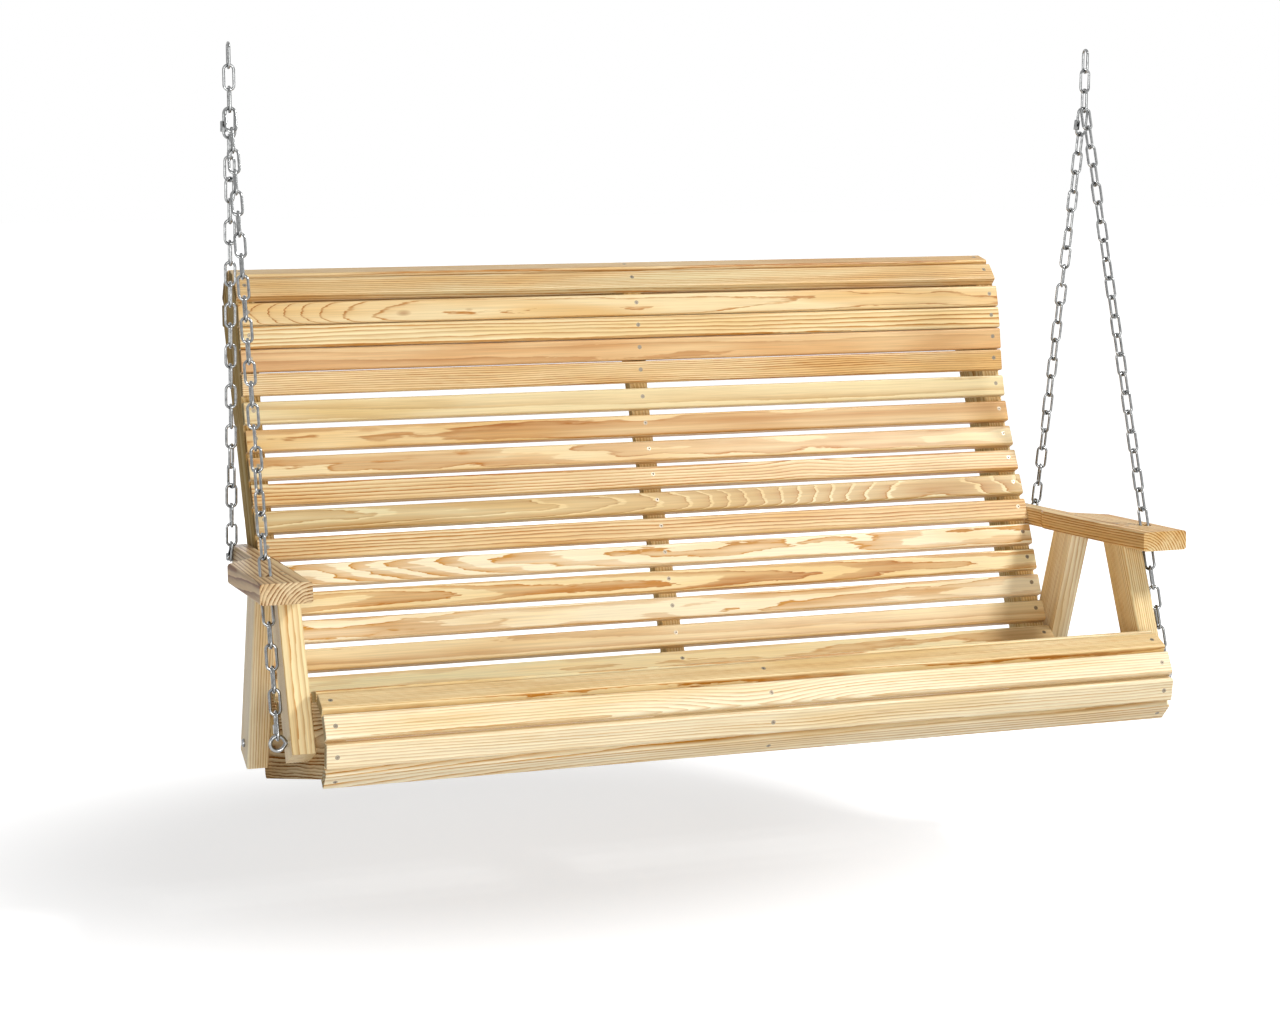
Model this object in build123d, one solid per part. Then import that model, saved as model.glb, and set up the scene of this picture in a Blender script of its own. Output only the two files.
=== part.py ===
from build123d import *
import math
import os

# A hanging porch swing of pine slats on three rib frames, in millimetres.
# X runs along the seat, Y to the back and Z up. The profile is laid out from a
# seat datum, the middle of the slat in the seat corner, and every piece is then
# moved so that the origin lies midway between the two points it hangs from.

# Slats
slat_length = 1524.0
slat_width = 41.3
slat_thick = 19.0
slat_face_round = 4.5
slat_back_round = 2.0
slat_end_round = 1.8

# Ribs, a side one at each end of the slats and one in the middle
board = 35.0
rib_outer_x = slat_length / 2
rib_x = rib_outer_x - board / 2
frames = {"left": -rib_x, "centre": 0.0, "right": rib_x}

# Side profile of the slat faces, from under the front roll to behind the top
# roll: each stretch has a length and a turn in degrees, left turns positive
front_roll_centre = (-376.0, -8.0)
front_roll_radius = 80.8
front_heading = 148.0
seat_slope = 18.0
seat_run = 267.0
corner_radius = 110.0
corner_turn = 85.5
lower_back = (340.0, -6.0)
upper_back = (186.0, 20.5)
neck = (115.0, -8.0)
top_roll_radius = 89.0
top_roll_turn = 180.0
profile = [
    (front_roll_radius * math.radians(front_heading + seat_slope), -front_heading - seat_slope),
    (seat_run, 0.0),
    (corner_radius * math.radians(corner_turn), corner_turn),
    lower_back,
    upper_back,
    neck,
    (top_roll_radius * math.radians(top_roll_turn), -top_roll_turn),
]

# Where the slats sit along the profile: first one, spacing and count
front_slats = (21.2, 51.05, 4)
seat_slats = (225.9, 53.66, 8)
back_slats = (653.0, 51.5, 10)
neck_slats = (1167.9, 42.9, 4)
roll_slats = (1351.4, 52.5, 5)

# Rib outlines away from the slats, as (y, z) from the seat datum
back_edge_lean = 27.0
foot_z = -123.0
foot_depth = 75.0
centre_rib_rear = [(304.0, 530.0), (75.0, 8.0)]
seat_rib_heel = [(36.0, 5.0), (103.5, -28.0), (119.0, -80.0), (93.5, -188.0)]
heel_round = 12.0

# Arms, from the front end of the top face
arm_front = (-348.0, 249.0)
arm_drop = math.radians(2.65)
arm_thick = 35.0
arm_inset = 5.0
arm_width = 86.5
ear_flare = 4.5
tail_width = 36.0
ear_rear = 285.0
tail_start = 348.0
notch = (392.0, 406.0)
arm_length = 553.0
arm_edge_round = 5.5
arm_bore = 26.0

# Posts, by the middle of the lower end and the lean from upright
post_thick = 39.0
post_width = 70.0
post_edge_round = 3.5
post_blank = 420.0
posts = {"front": ((-344.0, -43.0), -24.8), "rear": ((91.5, -147.5), 19.6)}

# Chain: hanging point, wire and the inner width and length of its links
hang_x = 811.0
hang_y = 16.3
hang_z = 1110.0
wire = 5.0
link_inner = (12.0, 37.0)
play = 0.2
front_links = 28
rear_links = 20
chain_bolt_yz = (175.3, 206.0)
last_link_tilt = math.radians(40)
pair_offset = 2.7
pair_rise = 4.8

# Twist of each chain, left -1 and right 1: degrees reached at a link counted from the top
front_twist = {-1: [(14, 0), (21, 90)], 1: [(6, 0), (9, 25), (22, 25), (27, 90)]}
rear_twist = {-1: [(0, 0), (3, 90), (14, 90), (17, 180)], 1: [(4, 0), (9, 90), (14, 90), (19, 180)]}

# Quick links: one under the upper links and a smaller one on the eye bolt
join_inner = (14.0, 47.0)
eye_link_inner = (13.0, 41.0)
join_flats = 10.5
eye_flats = 9.0
sleeve_bore = 5.6

# Bolts, with the sizes of washers (width, thickness), nuts and heads
bolt = 8.0
washer = (18.0, 1.6)
nut = (13.0, 6.5)
head = (15.0, 5.0)
bolt_end = 3.0
eye_yz = (-333.0, -17.7)
eye_x = 817.0
eye_radius = 12.0
eye_wire = 6.5
eye_neck = 2.0
post_bolt_yz = (80.5, -116.0)

# Screws
screw_head = 8.0
screw_shank = 4.0
screw_cone = 3.5
screw_point = 4.0
screw_recess = (2.6, 2.0)
slat_screw_length = 32.0
back_screw_rise = 4.0
arm_screw_length = 62.0
arm_screw_step = 18.0
lap_screws = [(8.0, -78.0), (43.0, -97.0), (34.0, -28.0), (56.0, -52.0)]


def along_profile(distance):
    """The point (y, z) and heading of the slat faces at a distance along the profile."""
    heading = front_heading
    y = front_roll_centre[0] - front_roll_radius * math.sin(math.radians(heading))
    z = front_roll_centre[1] + front_roll_radius * math.cos(math.radians(heading))
    for length, turn in profile:
        run = min(distance, length)
        bend = turn * run / length
        half = math.radians(bend / 2)
        chord = run * math.sin(half) / half if half else run
        y += chord * math.cos(math.radians(heading) + half)
        z += chord * math.sin(math.radians(heading) + half)
        heading += bend
        distance -= run
    return y, z, heading


def slat_planes(*rows):
    """A plane on each slat's face: X along the seat, Y along the profile, Z out of the face."""
    planes = []
    for first, step, count in rows:
        for i in range(count):
            y, z, heading = along_profile(first + step * i)
            normal = Vector(0, 0, 1).rotate(Axis.X, heading)
            planes.append(Plane(origin=(0, y, z), x_dir=(1, 0, 0), z_dir=normal))
    return planes


def slat_flat(plane, margin=0.0):
    """The two ends, as (y, z), of the flat on a rib that a slat lies on."""
    ends = []
    half = slat_width / 2 - margin
    for side in (-half, half):
        point = plane.from_local_coords(Vector(0, side, -slat_thick))
        ends.append((point.Y, point.Z))
    return ends


def screw_blank(length):
    """The space a countersunk screw fills: head flush with Z = 0, shank along -Z."""
    outline = Polyline(
        (0, 0),
        (screw_head / 2, 0),
        (screw_head / 2, -0.6),
        (screw_shank / 2, -screw_cone),
        (screw_shank / 2, -length + screw_point),
        (0, -length),
        close=True,
    )
    return revolve(make_face(Plane.XZ * outline), Axis.Z).solid()


def screw(length):
    """A countersunk wood screw with a square recess."""
    width, depth = screw_recess
    return (screw_blank(length) - Box(width, width, 2 * depth)).solid()


def slat_blank(rise):
    """A slat with eased edges and countersunk holes over the ribs, its face at Z = 0."""
    section = Pos(0, -slat_thick / 2) * Rectangle(slat_width, slat_thick)
    section = fillet(section.vertices().group_by(Axis.Y)[-1], slat_face_round)
    section = fillet(section.vertices().group_by(Axis.Y)[0], slat_back_round)
    stick = extrude(Plane.YZ * section, slat_length / 2, both=True)
    ends = stick.faces().sort_by(Axis.X)
    stick = fillet(ends[0].edges() + ends[-1].edges(), slat_end_round)
    for x in frames.values():
        stick -= Pos(x, rise, 0) * screw_blank(slat_screw_length)
    return stick.solid()


def board_shape(points, centre_x):
    """A board with an outline of (y, z) points, centred across X."""
    outline = make_face(Plane.YZ * Polyline(*points, close=True))
    return Pos(centre_x, 0, 0) * extrude(outline, board / 2, both=True)


def rib_pair(centre_x):
    """The back rib and the seat rib of one frame, half lapped where they cross."""
    front_edge = [point for plane in back_planes for point in slat_flat(plane)]
    top_y, top_z = front_edge[-1]
    lean = math.radians(back_edge_lean)
    heel = (top_y - (top_z - foot_z) * math.tan(lean), foot_z)
    toe = (heel[0] - foot_depth * math.cos(lean), foot_z + foot_depth * math.sin(lean))
    rear_edge = [heel] if centre_x else centre_rib_rear + [heel]
    back = board_shape([toe] + front_edge + rear_edge, centre_x)

    top_edge = []
    for index, plane in enumerate(front_planes + seat_planes):
        top_edge += slat_flat(plane, slat_back_round if index <= len(front_planes) else 0.0)
    seat = board_shape(top_edge + seat_rib_heel, centre_x)
    seat = fillet(seat.edges().filter_by(Axis.X).sort_by(Axis.Z)[0], heel_round)

    lap = back & seat
    outward = math.copysign(board / 2, centre_x)
    back -= lap & Pos(centre_x - outward, 0, 0) * Box(board, 3000, 3000)
    seat -= lap & Pos(centre_x + outward, 0, 0) * Box(board, 3000, 3000)
    return back, seat


def slat_screw_places(planes, rise, centre_x):
    """Where the screws of a row of slats go into the rib at centre_x."""
    return [plane.location * Pos(centre_x, rise, 0) for plane in planes]


def lap_screw_places(centre_x):
    """Where the lap screws go in, from the inner face of a frame."""
    outward = math.copysign(1, centre_x)
    inner_x = centre_x - outward * board / 2
    return [Pos(inner_x, y, z) * Rot(0, -90 * outward, 0) for y, z in lap_screws]


def rod(low_x, high_x, yz, diameter):
    """A round bar along X."""
    return Pos((low_x + high_x) / 2, *yz) * Rot(0, 90, 0) * Cylinder(diameter / 2, high_x - low_x)


def arm_under(y):
    """Height of an arm's underside."""
    return arm_front[1] - (y - arm_front[0]) * math.tan(arm_drop) - arm_thick / math.cos(arm_drop)


def post(foot, lean):
    """A right-hand post with a square lower end, its top cut to the arm's underside."""
    stick = Pos(post_thick / 2, 0, post_blank / 2) * Box(post_thick, post_width, post_blank)
    stick = fillet(stick.edges().filter_by(Axis.Z), post_edge_round)
    stick = Pos(rib_outer_x, *foot) * Rot(lean, 0, 0) * stick
    return split(stick, bisect_by=arm_plane.offset(-arm_thick), keep=Keep.BOTTOM)


def arm(bore):
    """The right-hand arm: a tail beside the back rib, an ear and a bore for the front chain."""
    inner = rib_outer_x - arm_inset
    outer = inner + arm_width
    tail = rib_outer_x + tail_width
    corners = [
        (inner, 0, 0),
        (outer, 0, 0),
        (outer + ear_flare, ear_rear, 14.0),
        (tail, tail_start, 20.0),
        (tail, arm_length, 22.0),
        (rib_outer_x, arm_length, 8.0),
        (rib_outer_x, notch[1], 7.0),
        (inner, notch[0], 7.0),
    ]
    plan = make_face(Polyline(*[(x, y) for x, y, radius in corners], close=True))
    for x, y, radius in corners:
        if radius:
            plan = fillet(plan.vertices().sort_by_distance((x, y, 0))[0], radius)
    plate = extrude(plan, -arm_thick)
    levels = plate.faces().sort_by(Axis.Z)
    rims = levels[0].edges() + levels[-1].edges()
    plate = fillet([edge for edge in rims if edge.center().Y > 1], arm_edge_round)
    return arm_plane.location * plate - bore


def arm_screw_places():
    """Where two screws go down through the right-hand arm into each post."""
    places = []
    for (y, z), lean in posts.values():
        top_y = y - (arm_under(y) - z) * math.tan(math.radians(lean))
        for step in (-arm_screw_step, arm_screw_step):
            local_y = (top_y + step - arm_front[0]) / math.cos(arm_drop)
            places.append(arm_plane.location * Pos(rib_outer_x + post_thick / 2, local_y, 0))
    return places


def oval_ring(inner):
    """A link of round wire in the XZ plane, long along Z."""
    bend = (inner[0] + wire) / 2
    straight = inner[1] + wire - 2 * bend
    lower = Pos(0, 0, -straight / 2) * revolve(Pos(bend, 0, 0) * Circle(wire / 2), Axis.Y, 180)
    side = Pos(bend, 0, 0) * Cylinder(wire / 2, straight)
    half = lower + side
    return (half + Rot(0, 180, 0) * half).solid()


def quick_link(inner, flats):
    """An oval ring with a gap in its -X side, and the hexagonal sleeve that closes the gap."""
    bend = (inner[0] + wire) / 2
    half = (inner[1] + wire) / 2 - bend
    gap = (-0.65 * half, -0.3 * half)
    span = (-0.9 * half, 0.2 * half)
    cut = Pos(-bend, 0, sum(gap) / 2) * Box(2 * wire, 2 * wire, gap[1] - gap[0])
    ring = oval_ring(inner) - cut
    tube = extrude(RegularPolygon(flats / 2, 6, major_radius=False), span[1] - span[0])
    for end in (0, -1):
        tube = chamfer(tube.faces().sort_by(Axis.Z)[end].edges(), 0.6)
    tube -= Cylinder(sleeve_bore / 2, 100)
    return ring.solid(), (Pos(-bend, 0, span[0]) * tube).solid()


def ring_place(top, down, across, inner):
    """The place of a link whose upper wire is centred on top, hanging along down, wide along across."""
    return Plane(origin=top + down * ((inner[1] + wire) / 2), x_dir=across, z_dir=-down).location


def twist_at(marks, index):
    """Degrees a chain has twisted by at one of its links."""
    angle = marks[0][1]
    for (first, low), (last, high) in zip(marks, marks[1:]):
        angle += (high - low) * min(max((index - first) / (last - first), 0), 1)
    return angle


def side_chains(side):
    """Every chain piece of one side, -1 for left and 1 for right."""
    along_x = Vector(1, 0, 0)
    down = Vector(0, 0, -1)
    depth = Vector(0, 1, 0)
    upper = []
    for i in range(3):
        across = depth if i % 2 == 0 else along_x
        top = Vector(side * hang_x, hang_y, top_wire - i * (link_inner[1] - play))
        upper.append(ring_place(top, down, across, link_inner) * link)

    # Front chain: from the third link through the arm to a quick link on the eye bolt
    start = Vector(side * hang_x, hang_y - pair_offset, pair_z)
    eye_top = Vector(side * eye_x, *eye_top_yz)
    down = (eye_top - start).normalized()
    flat = (along_x - down * along_x.dot(down)).normalized()
    turned = flat.cross(down)
    end = eye_top - down * (eye_link_inner[1] + wire / 2 - eye_wire / 2 - play)
    pitch = (end - start).length / front_links
    front = []
    for i in range(front_links):
        angle = math.radians(90 * i + side * twist_at(front_twist[side], i))
        across = flat * math.cos(angle) + turned * math.sin(angle)
        front.append(ring_place(start + down * (pitch * i), down, across, link_inner) * link)
    toward_front = turned if turned.Y < 0 else -turned
    eye_link_place = ring_place(end, down, toward_front, eye_link_inner)
    front.append(eye_link_place * eye_link)
    print(f"front chain pitch {pitch:.2f}")

    # Rear chain: from a quick link on the third link to the bolt in the arm's tail
    start = Vector(side * hang_x, hang_y + pair_offset, pair_z)
    tilted = Vector(0, math.sin(last_link_tilt), -math.cos(last_link_tilt))
    last = Vector(side * chain_bolt_x, *chain_bolt_yz) - tilted * last_link_drop
    end = last + tilted * (wire + play)
    down = (end - start).normalized()
    flat = (along_x - down * along_x.dot(down)).normalized()
    turned = flat.cross(down)
    join_place = ring_place(start, down, flat, join_inner)
    start += down * (join_inner[1] - play)
    pitch = ((end - start).length - wire - play) / rear_links
    rear = [join_place * join_link]
    for i in range(rear_links):
        angle = math.radians(90 * (i + 1) + side * twist_at(rear_twist[side], i))
        across = flat * math.cos(angle) + turned * math.sin(angle)
        rear.append(ring_place(start + down * (pitch * i), down, across, link_inner) * link)
    rear.append(ring_place(last, tilted, tilted.cross(along_x), link_inner) * link)
    print(f"rear chain pitch {pitch:.2f}")
    return {
        "top_link": upper[:1],
        "upper_links": upper[1:],
        "front_chain": front,
        "rear_chain": rear,
        "front_sleeve": [eye_link_place * eye_sleeve],
        "rear_sleeve": [join_place * join_sleeve],
    }


def washer_at(x, yz):
    """A washer on a bolt, its outer face at x."""
    ring = extrude(Circle(washer[0] / 2) - Circle(bolt / 2), washer[1])
    return (Pos(x, *yz) * Rot(0, -90, 0) * ring).solid()


def nut_at(x, yz):
    """A nut on a bolt, its bearing face at x."""
    block = extrude(RegularPolygon(nut[0] / 2, 6, major_radius=False), nut[1])
    block = chamfer(block.faces().sort_by(Axis.Z)[-1].edges(), 0.8)
    block -= Cylinder(bolt / 2, 100)
    return (Pos(x, *yz) * Rot(0, -90, 0) * block).solid()


def bolt_set(outer_x, outer_end, yz):
    """A right-hand bolt along X with its shaped outer end, and a washer and nut on the rib's inner face."""
    inner_x = rib_outer_x - board
    shank = rod(inner_x - washer[1] - nut[1] - bolt_end, outer_x, yz, bolt)
    return [(shank + outer_end).solid(), washer_at(inner_x, yz), nut_at(inner_x - washer[1], yz)]


def round_head(x, yz):
    """A domed bolt head whose flat side is at x."""
    dome = fillet(extrude(Circle(head[0] / 2), head[1]).edges().sort_by(Axis.Z)[-1], 0.7 * head[1])
    return Pos(x, *yz) * Rot(0, 90, 0) * dome


def eye_ring():
    """The bent eye of an eye bolt, in the XZ plane, drawn in to the shank."""
    ring = Rot(90, 0, 0) * Torus(eye_radius, eye_wire / 2)
    reach = eye_x - rib_outer_x - post_thick - eye_neck
    leg = math.sqrt(reach ** 2 - eye_radius ** 2)
    lean = math.degrees(math.asin(eye_radius / reach))
    for turn in (lean, -lean):
        ring += Pos(-reach, 0, 0) * Rot(0, 90 + turn, 0) * Pos(0, 0, leg / 2) * Cylinder(eye_wire / 2, leg)
    return Pos(eye_x, *eye_yz) * ring


def with_mirror(solids):
    """Right-hand solids together with their left-hand mirror images."""
    return solids + [mirror(solid, about=Plane.YZ) for solid in solids]


# Planes of the slats and of the arms' top faces
front_planes = slat_planes(front_slats)
seat_planes = slat_planes(seat_slats)
back_planes = slat_planes(back_slats, neck_slats, roll_slats)
arm_normal = (0, math.sin(arm_drop), math.cos(arm_drop))
arm_plane = Plane(origin=(0, *arm_front), x_dir=(1, 0, 0), z_dir=arm_normal)

# Links, and the heights of their wires under the hanging point
link = oval_ring(link_inner)
join_link, join_sleeve = quick_link(join_inner, join_flats)
eye_link, eye_sleeve = quick_link(eye_link_inner, eye_flats)
top_wire = hang_z + wire / 2
pair_z = top_wire - 2 * (link_inner[1] - play) - wire / 2 - link_inner[1] + pair_rise
eye_top_yz = (eye_yz[0], eye_yz[1] + eye_radius)
chain_bolt_x = rib_outer_x + tail_width + washer[1] + wire / 2 + play
chain_head_x = chain_bolt_x + wire / 2 + play
last_link_drop = link_inner[1] + wire / 2 - bolt / 2 - play

nodes = {}

# Slats
rows = {
    "front_slat": (front_planes, 0.0),
    "seat_slat": (seat_planes, 0.0),
    "back_slat": (back_planes, back_screw_rise),
}
for row, (planes, rise) in rows.items():
    blank = slat_blank(rise)
    for index, plane in enumerate(planes):
        nodes[f"{row}_{index + 1:02d}"] = [plane.location * blank]

# Ribs, drilled for their screws and bolts
slat_hole = screw_blank(slat_screw_length)
for name, centre_x in frames.items():
    back_rib, seat_rib = rib_pair(centre_x)
    laps = [place * slat_hole for place in lap_screw_places(centre_x)]
    back_screws = slat_screw_places(back_planes, back_screw_rise, centre_x)
    seat_screws = slat_screw_places(front_planes + seat_planes, 0.0, centre_x)
    back_holes = laps + [place * slat_hole for place in back_screws]
    seat_holes = laps + [place * slat_hole for place in seat_screws]
    if name != "centre":
        span = (centre_x - board, centre_x + board)
        back_holes.append(rod(*span, chain_bolt_yz, bolt))
        seat_holes.append(rod(*span, eye_yz, bolt))
        seat_holes.append(rod(*span, post_bolt_yz, bolt))
    nodes[f"{name}_back_rib"] = [(back_rib - back_holes).solid()]
    nodes[f"{name}_seat_rib"] = [(seat_rib - seat_holes).solid()]

# Arms and posts, drilled and mirrored; the arm's bore follows the front chain
chain_low = Vector(eye_x, *eye_top_yz)
chain_high = Vector(hang_x, hang_y - pair_offset, pair_z)
chain_bore = extrude(Plane(origin=chain_low, z_dir=chain_high - chain_low) * Circle(arm_bore / 2), 500)
arm_hole = screw_blank(arm_screw_length)
arm_holes = [place * arm_hole for place in arm_screw_places()]
bolt_hole = rod(0, 2 * rib_outer_x, chain_bolt_yz, bolt)
wood = {"arm": arm(chain_bore) - arm_holes - bolt_hole}
for name, bolt_yz in (("front", eye_yz), ("rear", post_bolt_yz)):
    wood[f"{name}_post"] = post(*posts[name]) - arm_holes - rod(0, 2 * rib_outer_x, bolt_yz, bolt)
for name, piece in wood.items():
    nodes[f"right_{name}"] = [piece.solid()]
    nodes[f"left_{name}"] = [mirror(piece.solid(), about=Plane.YZ)]

# Chains
for name, side in (("left", -1), ("right", 1)):
    for piece, solids in side_chains(side).items():
        nodes[f"{name}_{piece}"] = solids

# Hardware
slat_screw = screw(slat_screw_length)
arm_screw = screw(arm_screw_length)
screw_places = []
for centre_x in frames.values():
    for planes, rise in rows.values():
        screw_places += slat_screw_places(planes, rise, centre_x)
    screw_places += lap_screw_places(centre_x)
nodes["slat_screws"] = [place * slat_screw for place in screw_places]
nodes["arm_screws"] = with_mirror([place * arm_screw for place in arm_screw_places()])
nodes["eye_bolts"] = with_mirror(bolt_set(rib_outer_x + post_thick + eye_neck, eye_ring(), eye_yz))
post_head_x = rib_outer_x + post_thick
post_bolt = bolt_set(post_head_x, round_head(post_head_x, post_bolt_yz), post_bolt_yz)
nodes["post_bolts"] = with_mirror(post_bolt)
chain_bolt = bolt_set(chain_head_x, round_head(chain_head_x, chain_bolt_yz), chain_bolt_yz)
chain_bolt.append(washer_at(rib_outer_x + tail_width + washer[1], chain_bolt_yz))
nodes["chain_bolts"] = with_mirror(chain_bolt)

os.makedirs("parts", exist_ok=True)
for name, solids in nodes.items():
    moved = [Pos(0, -hang_y, -hang_z) * solid for solid in solids]
    export_step(moved[0] if len(moved) == 1 else Compound(children=moved), f"parts/{name}.step")
print(len(nodes), "nodes")
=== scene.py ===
import math
import random
import bmesh
import bpy
from mathutils import Matrix, Vector


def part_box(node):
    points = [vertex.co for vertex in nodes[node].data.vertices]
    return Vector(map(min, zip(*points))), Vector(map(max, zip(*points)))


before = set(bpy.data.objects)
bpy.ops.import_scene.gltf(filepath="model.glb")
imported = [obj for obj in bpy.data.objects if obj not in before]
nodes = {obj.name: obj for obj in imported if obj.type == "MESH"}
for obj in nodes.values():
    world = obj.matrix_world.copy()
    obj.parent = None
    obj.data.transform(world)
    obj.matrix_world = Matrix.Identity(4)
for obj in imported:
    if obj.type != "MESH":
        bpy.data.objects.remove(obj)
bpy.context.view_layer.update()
scene = bpy.context.scene
print("frame loaded:", len(nodes), "nodes")


# sRGB hex to a linear colour
def linear(hexColour):
    channels = [int(hexColour[i:i + 2], 16) / 255 for i in (0, 2, 4)]
    return [c / 12.92 if c <= 0.04045 else ((c + 0.055) / 1.055) ** 2.4 for c in channels] + [1.0]


# One node with its settings; a socket among the values is linked, any other value is set
def addNode(tree, kind, settings=None, sockets=None):
    node = tree.nodes.new(kind)
    for key, value in (settings or {}).items():
        setattr(node, key, value)
    for key, value in (sockets or {}).items():
        if isinstance(value, bpy.types.NodeSocket):
            tree.links.new(value, node.inputs[key])
        else:
            node.inputs[key].default_value = value
    return node


def newMaterial(name):
    material = bpy.data.materials.new(name)
    material.use_nodes = True
    material.node_tree.nodes.clear()
    return material, material.node_tree


def dress(nodeName, *materials):
    mesh = nodes[nodeName].data
    mesh.materials.clear()
    for material in materials:
        mesh.materials.append(material)


# Southern yellow pine, planed and left bare: pale spring wood between hard amber summer lines,
# with a dull satin face. Each layer of noise has its size in millimetres along and across the
# board, and push is how far a layer moves the growth rings
pineLook = {
    "wander": {"along": 520, "across": 60, "detail": 1.0, "push": 6.0},
    "sway": {"along": 120, "across": 16, "detail": 1.0, "push": 1.2},
    "ragged": {"along": 30, "across": 3.0, "detail": 2.0, "push": 0.8},
    "streak": {"along": 700, "across": 12, "detail": 1.0, "offset": 9},
    "patch": {"along": 420, "across": 55, "detail": 2.0, "offset": 3},
    "fibre": {"along": 130, "across": 2.2, "detail": 3.0},  # real fibres are too fine to show
    "streakSpan": (0.32, 0.68),  # each span is the part of a noise that a change is spread over
    "lineStrength": (0.5, 1.15),
    "warmSpan": (0.6, 0.82),
    "warmShift": 0.22,  # how far a board's own warmth moves that span
    "warm": 0.85,
    "greenSpan": (0.54, 0.4),
    "fibreSpan": (0.3, 0.7),
    "fibreShade": (0.87, 1.05),
    "lineRise": 0.5,  # how proud a summer line stands, beside the fibres
    "bump": 0.15,
    "bumpMm": 0.6,
    "ior": 1.5,
    "roughness": 0.42,
    "sheen": 0.45,
}

# Spring and summer wood of each board tone, and their warm and deep colours in patches
pineTones = {
    "cream": {"spring": "F2DEAC", "warm": "E9C98A", "summer": "BE7E22", "deep": "AC6C18"},
    "pale": {"spring": "F8EAC6", "warm": "F1D8A6", "summer": "C68A2C", "deep": "B67A22"},
    "honey": {"spring": "ECD4A2", "warm": "DFB674", "summer": "B67418", "deep": "A46210"},
    "olive": {"spring": "E9D4A2", "warm": "DCBE80", "summer": "AE7618", "deep": "9C6610"},
    "rose": {"spring": "E8C894", "warm": "DAAA70", "summer": "B47018", "deep": "A26010"},
    "grey": {"spring": "E5CEA5", "warm": "D4B282", "summer": "8E5A22", "deep": "7A4A18"},
}
preservative = "D8D8AE"  # a faint green tint on some boards

# A knot reaches from the slat's face into the wood and fades from its core to its rim
knotLook = {"colour": "A87440", "faceMm": 9.5, "depthMm": 20, "rim": 1.15, "core": 0.55,
            "strength": 0.8}

# How a board was sawn: millimetres from the middle of the board to the heart of the log, across
# and below, the lean of the grain in degrees, the rings' width in millimetres, their contrast and
# edge, and how much they sway
cuts = {
    "flat": {"heart": (4, 52), "lean": (0.7, 0.1), "ring": 5.5, "contrast": 1.15, "sway": 1.5,
             "ringEdge": "band"},
    "blotch": {"heart": (7, 74), "lean": (0.35, 0.05), "ring": 7.5, "contrast": 1.15, "sway": 2.6,
               "ringEdge": "band"},
    "rift": {"heart": (48, 40), "lean": (0.25, 0.2), "ring": 4.2, "contrast": 1.0,
             "ringEdge": "soft"},
    "quarter": {"heart": (84, 10), "lean": (0.1, 0.12), "ring": 3.1, "contrast": 0.85,
                "ringEdge": "soft"},
    "plain": {"heart": (20, 66), "lean": (0.25, 0.1), "ring": 7.5, "contrast": 0.5,
              "ringEdge": "soft"},
}

# How the summer colour comes and goes over the width of one ring
ringEdges = {
    "soft": ((0.32, 0.04), (0.58, 0.34), (0.8, 0.76), (0.92, 1.0), (0.98, 0.95)),
    "band": ((0.4, 0.02), (0.46, 0.4), (0.7, 0.5), (0.9, 0.64), (0.955, 1.0), (0.98, 0.9)),
    "broad": ((0.12, 0.02), (0.18, 0.42), (0.6, 0.5), (0.9, 0.62), (0.955, 0.9), (0.98, 0.8)),
    "thin": ((0.6, 0.03), (0.84, 0.14), (0.9, 0.8), (0.94, 1.0), (0.98, 0.8)),
}


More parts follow.
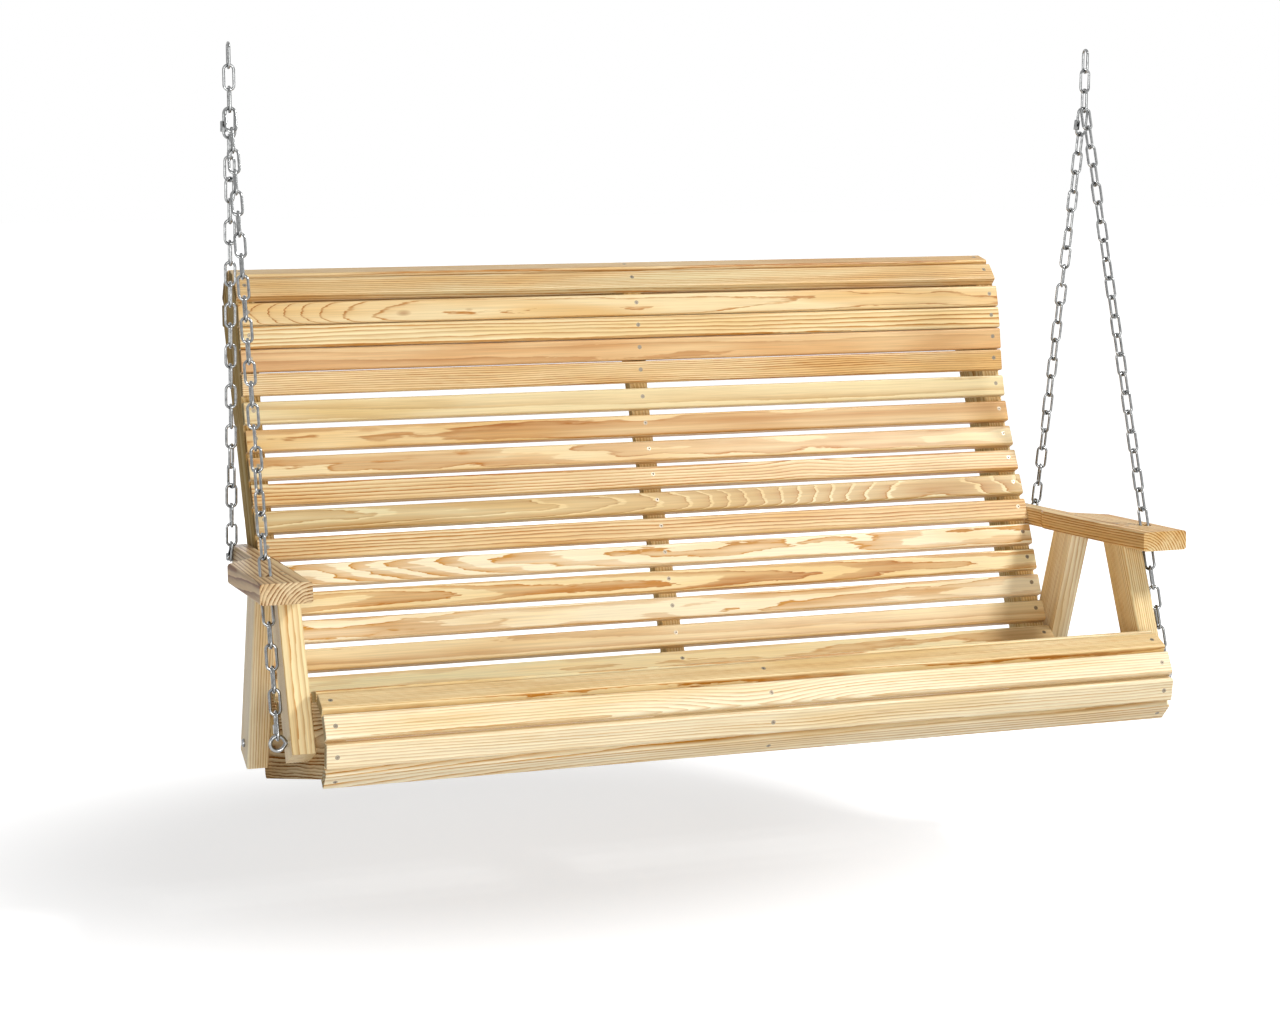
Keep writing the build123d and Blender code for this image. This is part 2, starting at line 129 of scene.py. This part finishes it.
def pine(name, centre, along, normal, grain, seed):
    look = pineLook
    tone = pineTones[grain["tone"]]
    saw = {**cuts[grain["cut"]], **grain}
    rng = random.Random(seed)
    side = rng.choice((-1, 1))
    shift = rng.uniform(-4, 4)
    material, tree = newMaterial(name)

    # the board's own coordinates: X along the grain and Z out of its face
    axisX = Vector(along).normalized()
    axisZ = (Vector(normal) - axisX * axisX.dot(Vector(normal))).normalized()
    turn = Matrix((axisX, axisZ.cross(axisX), axisZ)).transposed().to_euler()
    coords = addNode(tree, "ShaderNodeTexCoord")
    board = addNode(tree, "ShaderNodeMapping", {"vector_type": "TEXTURE"}, {
        "Vector": coords.outputs["Object"], "Location": centre, "Rotation": turn}).outputs[0]

    # one layer of the grain, drawn out along the board
    def grainLayer(layer, start):
        size = look[layer]
        offset = start + size.get("offset", 0)
        scale = (1000 / size["along"], 1000 / size["across"], 1000 / size["across"])
        stretched = addNode(tree, "ShaderNodeMapping", {}, {
            "Vector": board, "Location": (offset, 2 * offset, -offset), "Scale": scale})
        return addNode(tree, "ShaderNodeTexNoise", {}, {
            "Vector": stretched.outputs[0], "Scale": 1.0, "Detail": size["detail"]})

    # the log's waviness: a slow wander, a sway and ragged ring edges
    place = board
    for layer in ("wander", "sway", "ragged"):
        noise = grainLayer(layer, shift)
        centred = addNode(tree, "ShaderNodeVectorMath", {"operation": "SUBTRACT"}, {
            0: noise.outputs["Color"], 1: (0.5, 0.5, 0.5)})
        push = 2 * saw.get(layer, 1.0) * look[layer]["push"] / 1000  # noise is half a unit each way
        place = addNode(tree, "ShaderNodeVectorMath", {"operation": "MULTIPLY_ADD"}, {
            0: centred.outputs[0], 1: (0, push, push), 2: place}).outputs[0]

    # swellings of the log beside a branch, bell shaped, where the rings run out of the face
    for at, spread, rise in saw.get("swell", ()):
        apart = addNode(tree, "ShaderNodeSeparateXYZ", {}, {0: board})
        run = addNode(tree, "ShaderNodeMath", {"operation": "MULTIPLY_ADD"}, {
            0: apart.outputs["X"], 1: 1000 / spread, 2: -at / spread})
        square = addNode(tree, "ShaderNodeMath", {"operation": "MULTIPLY"}, {
            0: run.outputs[0], 1: run.outputs[0]})
        fall = addNode(tree, "ShaderNodeMath", {"operation": "POWER"}, {
            0: math.exp(-1), 1: square.outputs[0]})
        lift = addNode(tree, "ShaderNodeMath", {"operation": "MULTIPLY"}, {
            0: fall.outputs[0], 1: rise / 1000})
        lifted = addNode(tree, "ShaderNodeCombineXYZ", {}, {"Z": lift.outputs[0]})
        place = addNode(tree, "ShaderNodeVectorMath", {"operation": "ADD"}, {
            0: place, 1: lifted.outputs[0]}).outputs[0]

    # growth rings around the heart of the log, pale spring wood ending in a hard summer line
    heart = (0, side * saw["heart"][0] / 1000, -saw["heart"][1] / 1000)
    lean = [math.radians(angle) * rng.choice((-1, 1)) for angle in saw["lean"]]
    log = addNode(tree, "ShaderNodeMapping", {"vector_type": "TEXTURE"}, {
        "Vector": place, "Location": heart, "Rotation": (0, *lean)})
    ringScale = math.pi * 100 / saw["ring"]  # the wave repeats every pi / 10 of its scale
    rings = addNode(tree, "ShaderNodeTexWave", {
        "wave_type": "RINGS", "rings_direction": "X", "wave_profile": "SAW"}, {
        "Vector": log.outputs[0], "Scale": ringScale, "Phase Offset": rng.uniform(0, 6)})
    profile = addNode(tree, "ShaderNodeValToRGB", {}, {"Fac": rings.outputs["Fac"]})
    ramp = profile.color_ramp
    ramp.elements[0].color = (0, 0, 0, 1)
    ramp.elements[-1].color = (0, 0, 0, 1)
    for position, value in ringEdges[saw["ringEdge"]]:
        ramp.elements.new(position).color = (value, value, value, 1)

    # the lines come and go in long streaks
    streak = grainLayer("streak", shift)
    faint, strong = look["lineStrength"]
    strength = addNode(tree, "ShaderNodeMapRange", {}, {
        "Value": streak.outputs["Fac"],
        "From Min": look["streakSpan"][0], "From Max": look["streakSpan"][1],
        "To Min": faint * saw["contrast"], "To Max": strong * saw["contrast"]})
    line = addNode(tree, "ShaderNodeMath", {"operation": "MULTIPLY", "use_clamp": True}, {
        0: profile.outputs["Color"], 1: strength.outputs[0]})

    # warm and green patches along the board
    patch = grainLayer("patch", shift)
    warm = saw.get("warm", look["warm"])
    warmFrom, warmTo = [edge - look["warmShift"] * warm for edge in look["warmSpan"]]
    warmth = addNode(tree, "ShaderNodeMapRange", {}, {
        "Value": patch.outputs["Fac"], "From Min": warmFrom, "From Max": warmTo})
    body = addNode(tree, "ShaderNodeMix", {"data_type": "RGBA"}, {
        "Factor": warmth.outputs[0],
        "A": linear(tone["spring"]), "B": linear(tone["warm"])}).outputs["Result"]
    if saw.get("green"):
        tint = addNode(tree, "ShaderNodeMapRange", {}, {
            "Value": patch.outputs["Fac"], "From Min": look["greenSpan"][0],
            "From Max": look["greenSpan"][1], "To Max": saw["green"]})
        body = addNode(tree, "ShaderNodeMix", {"data_type": "RGBA"}, {
            "Factor": tint.outputs[0], "A": body, "B": linear(preservative)}).outputs["Result"]
    summer = addNode(tree, "ShaderNodeMix", {"data_type": "RGBA"}, {
        "Factor": warmth.outputs[0], "A": linear(tone["summer"]), "B": linear(tone["deep"])})
    wood = addNode(tree, "ShaderNodeMix", {"data_type": "RGBA"}, {
        "Factor": line.outputs[0], "A": body, "B": summer.outputs["Result"]}).outputs["Result"]
    for at, across, length, width in saw.get("knots", ()):
        spot = addNode(tree, "ShaderNodeMapping", {"vector_type": "TEXTURE"}, {
            "Vector": place, "Location": (at / 1000, across / 1000, knotLook["faceMm"] / 1000),
            "Scale": (length / 2000, width / 2000, knotLook["depthMm"] / 1000)})  # half its size
        reach = addNode(tree, "ShaderNodeVectorMath", {"operation": "LENGTH"}, {0: spot.outputs[0]})
        inside = addNode(tree, "ShaderNodeMapRange", {}, {
            "Value": reach.outputs["Value"], "From Min": knotLook["rim"],
            "From Max": knotLook["core"], "To Max": knotLook["strength"]})
        wood = addNode(tree, "ShaderNodeMix", {"data_type": "RGBA"}, {
            "Factor": inside.outputs[0], "A": wood,
            "B": linear(knotLook["colour"])}).outputs["Result"]

    # fine fibres, drawn no finer than the render can show
    fibre = grainLayer("fibre", 0)
    # a sawn end's shade darkens its whole colour, partly as the end grain's own colour and partly
    # as painted shade
    dark, light = [shade * saw.get("shade", 1.0) for shade in look["fibreShade"]]
    fibreShade = addNode(tree, "ShaderNodeMapRange", {}, {
        "Value": fibre.outputs["Fac"],
        "From Min": look["fibreSpan"][0], "From Max": look["fibreSpan"][1],
        "To Min": dark, "To Max": light})
    colour = addNode(tree, "ShaderNodeMix", {"data_type": "RGBA", "blend_type": "MULTIPLY"}, {
        "Factor": 1.0, "A": wood, "B": fibreShade.outputs[0]})
    height = addNode(tree, "ShaderNodeMath", {"operation": "MULTIPLY_ADD"}, {
        0: line.outputs[0], 1: look["lineRise"], 2: fibre.outputs["Fac"]})
    bump = addNode(tree, "ShaderNodeBump", {}, {
        "Height": height.outputs[0], "Strength": look["bump"], "Distance": look["bumpMm"] / 1000})
    shader = addNode(tree, "ShaderNodeBsdfPrincipled", {}, {
        "Base Color": colour.outputs["Result"], "Roughness": look["roughness"], "IOR": look["ior"],
        "Specular IOR Level": saw.get("sheen", look["sheen"]), "Normal": bump.outputs[0]})
    addNode(tree, "ShaderNodeOutputMaterial", {}, {"Surface": shader.outputs[0]})
    return material


def faceNormal(nodeName):
    return max(nodes[nodeName].data.polygons, key=lambda polygon: polygon.area).normal.copy()


def middle(nodeName):
    low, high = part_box(nodeName)
    return (low + high) / 2


# Each slat's own board, in millimetres from the slat's middle: a swell has its place, spread and
# rise, and a knot its place along and across, length and width
slatGrain = {
    "front_slat_01": {"cut": "rift", "tone": "pale", "warm": 0.6, "ring": 6.5,
                      "swell": [(-900, 420, 40)]},
    "front_slat_02": {"cut": "rift", "tone": "pale", "warm": 0.6, "ring": 4.6, "contrast": 0.7,
                      "wander": 0.6, "knots": [(205, -4, 70, 7)], "swell": [(60, 90, 7)]},
    "front_slat_03": {"cut": "rift", "tone": "pale", "warm": 0.6, "ring": 4.2, "contrast": 0.75,
                      "wander": 0.7, "swell": [(-40, 150, 22)]},
    "front_slat_04": {"cut": "quarter", "tone": "cream", "ring": 3.2, "contrast": 1.1,
                      "wander": 0.5},
    "seat_slat_01": {"cut": "rift", "tone": "cream", "green": 0.4},
    "seat_slat_02": {"cut": "flat", "tone": "honey"},
    "seat_slat_03": {"cut": "plain", "tone": "cream"},
    "seat_slat_04": {"cut": "quarter", "tone": "honey"},
    "seat_slat_05": {"cut": "blotch", "tone": "cream", "green": 0.5},
    "seat_slat_06": {"cut": "rift", "tone": "rose"},
    "seat_slat_07": {"cut": "flat", "tone": "cream"},
    "seat_slat_08": {"cut": "blotch", "tone": "cream", "ring": 9.5, "contrast": 0.8, "warm": 0.4,
                     "green": 0.35},
    "back_slat_01": {"cut": "plain", "tone": "honey", "contrast": 0.55},
    "back_slat_02": {"cut": "blotch", "tone": "pale", "ring": 5.5, "contrast": 1.25, "warm": 0.4},
    "back_slat_03": {"cut": "flat", "tone": "cream", "ring": 4.6, "contrast": 1.5,
                     "knots": [(-70, 3, 16, 7)]},
    "back_slat_04": {"cut": "blotch", "tone": "pale", "ring": 5.5, "contrast": 1.25, "warm": 0.4,
                     "swell": [(-760, 330, 26)], "knots": [(5, -6, 15, 6)]},
    "back_slat_05": {"cut": "rift", "tone": "honey", "ring": 5.6, "contrast": 1.2, "warm": 0.5,
                     "sway": 1.8},
    "back_slat_06": {"cut": "flat", "tone": "olive", "ring": 6.2, "ringEdge": "broad", "sway": 2.0,
                     "swell": [(560, 400, 80)], "green": 0.3},
    "back_slat_07": {"cut": "rift", "tone": "honey", "ring": 5.6, "contrast": 1.15,
                     "swell": [(310, 70, 9)]},
    "back_slat_08": {"cut": "blotch", "tone": "honey", "ring": 6.0, "contrast": 1.0},
    "back_slat_09": {"cut": "blotch", "tone": "honey", "ring": 15, "ringEdge": "broad",
                     "contrast": 1.1, "warm": 0.8},
    "back_slat_10": {"cut": "plain", "tone": "olive", "ring": 9, "contrast": 0.5, "warm": 0.2},
    "back_slat_11": {"cut": "quarter", "tone": "honey", "ring": 4.0, "contrast": 1.15},
    "back_slat_12": {"cut": "plain", "tone": "rose", "warm": 1.3},
    "back_slat_13": {"cut": "rift", "tone": "cream", "ring": 6.4, "contrast": 1.15, "warm": 0.7,
                     "sway": 1.8},
    "back_slat_14": {"cut": "flat", "tone": "honey", "warm": 0.8, "ringEdge": "thin", "sway": 2.0,
                     "swell": [(-860, 250, 60)], "knots": [(-455, 4, 34, 13), (-330, 2, 22, 8)]},
    "back_slat_15": {"cut": "rift", "tone": "honey", "ring": 3.8, "contrast": 1.0, "warm": 0.6,
                     "green": 0.35},
    "back_slat_16": {"cut": "rift", "tone": "honey"},
    "back_slat_17": {"cut": "flat", "tone": "honey"},
    "back_slat_18": {"cut": "quarter", "tone": "rose"},
    "back_slat_19": {"cut": "rift", "tone": "cream"},
}
# Sawn slat ends are matt and darker: partly the end grain's own darker colour, partly painted shade
endGrainWithPaintedShade = {"sheen": 0.0, "shade": 0.6}  # end grain drinks the light and has no gloss
endFacing = 0.9  # a face that points this much along the slat belongs to a sawn end
for nodeName, grain in slatGrain.items():
    board = (middle(nodeName), (1, 0, 0), faceNormal(nodeName))
    dress(nodeName, pine(f"bare_pine_{nodeName}", *board, grain, nodeName),
          pine(f"sawn_pine_end_with_painted_shade_{nodeName}", *board, {**grain, **endGrainWithPaintedShade}, nodeName))
    for polygon in nodes[nodeName].data.polygons:
        polygon.material_index = int(abs(polygon.normal.x) > endFacing)
print("slats dressed")

# Boards of the frames, with the run of their grain; the first name that a node ends with holds
backLean = math.radians(27)
seatFall = math.radians(13.9)
backRun = (0, math.sin(backLean), math.cos(backLean))
seatRun = (0, math.cos(seatFall), -math.sin(seatFall))
armRun = (0, 1, -0.046)
sideways = (1, 0, 0)
upwards = (0, 0, 1)
frameGrain = {
    "left_back_rib": {"along": backRun, "normal": sideways, "grain": {
        "cut": "flat", "tone": "olive", "sheen": 0.0}},
    "back_rib": {"along": backRun, "normal": sideways, "grain": {
        "cut": "flat", "tone": "cream", "contrast": 0.8, "sheen": 0.0}},
    "seat_rib": {"along": seatRun, "normal": sideways, "grain": {
        "cut": "flat", "tone": "grey", "ring": 4.5, "contrast": 1.3, "warm": 1.2,
        "ringEdge": "soft", "sheen": 0.0}},
    "right_arm": {"along": armRun, "normal": upwards, "grain": {
        "cut": "rift", "tone": "honey", "ring": 5.2, "contrast": 1.3, "sheen": 0.1}},
    "left_arm": {"along": armRun, "normal": upwards, "grain": {
        "cut": "rift", "tone": "grey", "ring": 5.6, "contrast": 1.3, "sheen": 0.1}},
    "front_post": {"along": (0, 0.42, 0.91), "normal": sideways, "grain": {
        "cut": "rift", "tone": "cream", "contrast": 0.9, "warm": 0.5, "wander": 0.5, "sheen": 0.2}},
    "rear_post": {"along": (0, -0.335, 0.94), "normal": sideways, "grain": {
        "cut": "rift", "tone": "pale", "contrast": 0.8, "warm": 1.0, "wander": 0.5, "sheen": 0.2}},
}
for nodeName in nodes:
    for piece, board in frameGrain.items():
        if nodeName.endswith(piece):
            dress(nodeName, pine(f"bare_pine_{nodeName}", middle(nodeName), board["along"],
                                 board["normal"], board["grain"], nodeName))
            break
print("frames, arms and posts dressed")

# Zinc plated steel wire: bright and smooth, with cloudy duller patches
zincLook = {"bright": "B4B5B4", "dull": "3E4042", "cloudMm": 7,
            "roughBright": 0.06, "roughDull": 0.2}

# Coated screw steel: a dull warm grey that is nearly lost in the wood
screwLook = {"bright": "B8AC98", "dull": "6E6454", "cloudMm": 2.5,
             "roughBright": 0.28, "roughDull": 0.45}

cloudDetail = 3.0
cloudSpan = (0.3, 0.7)  # the part of the noise that the roughness is spread over


def cloudySteel(name, look):
    material, tree = newMaterial(name)
    coords = addNode(tree, "ShaderNodeTexCoord")
    cloud = addNode(tree, "ShaderNodeTexNoise", {}, {
        "Vector": coords.outputs["Object"], "Scale": 1000 / look["cloudMm"], "Detail": cloudDetail})
    colour = addNode(tree, "ShaderNodeMix", {"data_type": "RGBA"}, {
        "Factor": cloud.outputs["Fac"], "A": linear(look["bright"]), "B": linear(look["dull"])})
    rough = addNode(tree, "ShaderNodeMapRange", {}, {
        "Value": cloud.outputs["Fac"], "From Min": cloudSpan[0], "From Max": cloudSpan[1],
        "To Min": look["roughBright"], "To Max": look["roughDull"]})
    shader = addNode(tree, "ShaderNodeBsdfPrincipled", {}, {
        "Base Color": colour.outputs["Result"], "Metallic": 1.0,
        "Roughness": rough.outputs["Result"]})
    addNode(tree, "ShaderNodeOutputMaterial", {}, {"Surface": shader.outputs[0]})
    return material


zincWire = cloudySteel("zinc_plated_steel_wire", zincLook)
screwCoat = cloudySteel("grey_coated_screw_steel", screwLook)
for nodeName in nodes:
    if nodeName.endswith("screws"):
        dress(nodeName, screwCoat)
    elif any(word in nodeName for word in ("link", "chain", "sleeve", "bolts")):
        dress(nodeName, zincWire)
print("chains and hardware dressed")


# 1 where the background is seen, straight or in metal, and 0 where it would light the swing
def whereSeen(tree):
    path = addNode(tree, "ShaderNodeLightPath")
    seen = path.outputs["Is Camera Ray"]
    for ray in ("Is Glossy Ray", "Is Transmission Ray"):
        seen = addNode(tree, "ShaderNodeMath", {"operation": "MAXIMUM"}, {
            0: seen, 1: path.outputs[ray]}).outputs[0]
    return seen


# Pale floor well under the seat. It glows white where it is seen, and less in a fixed ellipse
# around the place that the lamps' shadow falls on at rest: a painted shade that stays put when the
# swing moves, with the lamps' real shadow falling in it
floorLook = {"height": -1.55, "size": 60, "white": "C4C4C4", "glowInPaintedShade": 0.6, "farGlow": 1.0,
             "shadow": (-0.3, 0.45), "reach": (1.5, 1.0), "fade": (0.35, 1.0)}
floorShape = bmesh.new()
bmesh.ops.create_grid(floorShape, x_segments=1, y_segments=1, size=floorLook["size"] / 2)
bmesh.ops.translate(floorShape, verts=floorShape.verts, vec=(0, 0, floorLook["height"]))
floorMesh = bpy.data.meshes.new("floor")
floorShape.to_mesh(floorMesh)
floorShape.free()
floor = bpy.data.objects.new("floor", floorMesh)
scene.collection.objects.link(floor)
material, tree = newMaterial("pale_floor_with_painted_shade")
coords = addNode(tree, "ShaderNodeTexCoord")
around = addNode(tree, "ShaderNodeMapping", {"vector_type": "TEXTURE"}, {
    "Vector": coords.outputs["Object"], "Location": (*floorLook["shadow"], floorLook["height"]),
    "Scale": (*floorLook["reach"], 1)})
away = addNode(tree, "ShaderNodeVectorMath", {"operation": "LENGTH"}, {0: around.outputs[0]})
# painted shade: the floor's glow is lowest in the middle of the fixed ellipse around the shadow's
# place
glow = addNode(tree, "ShaderNodeMapRange", {"interpolation_type": "SMOOTHSTEP"}, {
    "Value": away.outputs["Value"],
    "From Min": floorLook["fade"][0], "From Max": floorLook["fade"][1],
    "To Min": floorLook["glowInPaintedShade"], "To Max": floorLook["farGlow"]})
seen = addNode(tree, "ShaderNodeMath", {"operation": "MULTIPLY"}, {
    0: whereSeen(tree), 1: glow.outputs[0]})
lit = addNode(tree, "ShaderNodeEmission", {}, {"Color": (1, 1, 1, 1), "Strength": seen.outputs[0]})
matt = addNode(tree, "ShaderNodeBsdfDiffuse", {}, {"Color": linear(floorLook["white"])})
both = addNode(tree, "ShaderNodeAddShader", {}, {0: lit.outputs[0], 1: matt.outputs[0]})
addNode(tree, "ShaderNodeOutputMaterial", {}, {"Surface": both.outputs[0]})
floorMesh.materials.append(material)

# White studio all round, at full strength only where it is seen
studio = {"fill": 0.21, "seen": 1.0}
world = bpy.data.worlds.new("studio")
scene.world = world
world.use_nodes = True
tree = world.node_tree
tree.nodes.clear()
strength = addNode(tree, "ShaderNodeMapRange", {}, {
    "Value": whereSeen(tree), "To Min": studio["fill"], "To Max": studio["seen"]})
sky = addNode(tree, "ShaderNodeBackground", {}, {
    "Color": (1, 1, 1, 1), "Strength": strength.outputs["Result"]})
addNode(tree, "ShaderNodeOutputWorld", {}, {"Surface": sky.outputs[0]})

# Round softboxes in metres and watts; the sheen card shows in gloss alone
softboxes = {
    "key_softbox": {"place": (2.4, -1.9, 2.4), "target": (0, 0, -0.95),
                    "size": 0.9, "power": 136},
    "front_softbox": {"place": (-0.9, -4.7, -0.3), "target": (0, 0, -0.9),
                      "size": 2.2, "power": 92},
    "side_softbox": {"place": (-2.1, -1.9, -1.2), "target": (-0.8, 0, -0.95),
                     "size": 0.8, "power": 11},
    "back_softbox": {"place": (0.9, 4.5, -0.6), "target": (0, 0, -0.8),
                     "size": 2.5, "power": 45},
    "sheen_card": {"place": (2.6, -2.6, 1.9), "target": (0, 0, -0.6),
                   "size": 4.0, "power": 24, "glossOnly": True},
}
for name, look in softboxes.items():
    lamp = bpy.data.lights.new(name, "AREA")
    lamp.shape = "DISK"
    lamp.size = look["size"]
    lamp.energy = look["power"]
    box = bpy.data.objects.new(name, lamp)
    box.location = look["place"]
    aim = Vector(look["target"]) - Vector(look["place"])
    box.rotation_euler = aim.to_track_quat("-Z", "Y").to_euler()
    box.visible_diffuse = not look.get("glossOnly", False)
    scene.collection.objects.link(box)

# Camera fitted to the photograph, in metres, degrees and millimetres of lens and sensor
cameraLook = {"place": (-1.5563, -4.3733, -0.1143), "down": 8.757, "turn": 18.688, "lens": 71.89,
              "sensor": 36}
cameraData = bpy.data.cameras.new("camera")
cameraData.sensor_fit = "HORIZONTAL"
cameraData.sensor_width = cameraLook["sensor"]
cameraData.lens = cameraLook["lens"]
camera = bpy.data.objects.new("camera", cameraData)
camera.location = cameraLook["place"]
camera.rotation_euler = (
    math.radians(90 - cameraLook["down"]), 0, math.radians(-cameraLook["turn"]))
scene.collection.objects.link(camera)
scene.camera = camera
scene.view_settings.view_transform = "Standard"
print("studio, floor and camera ready")
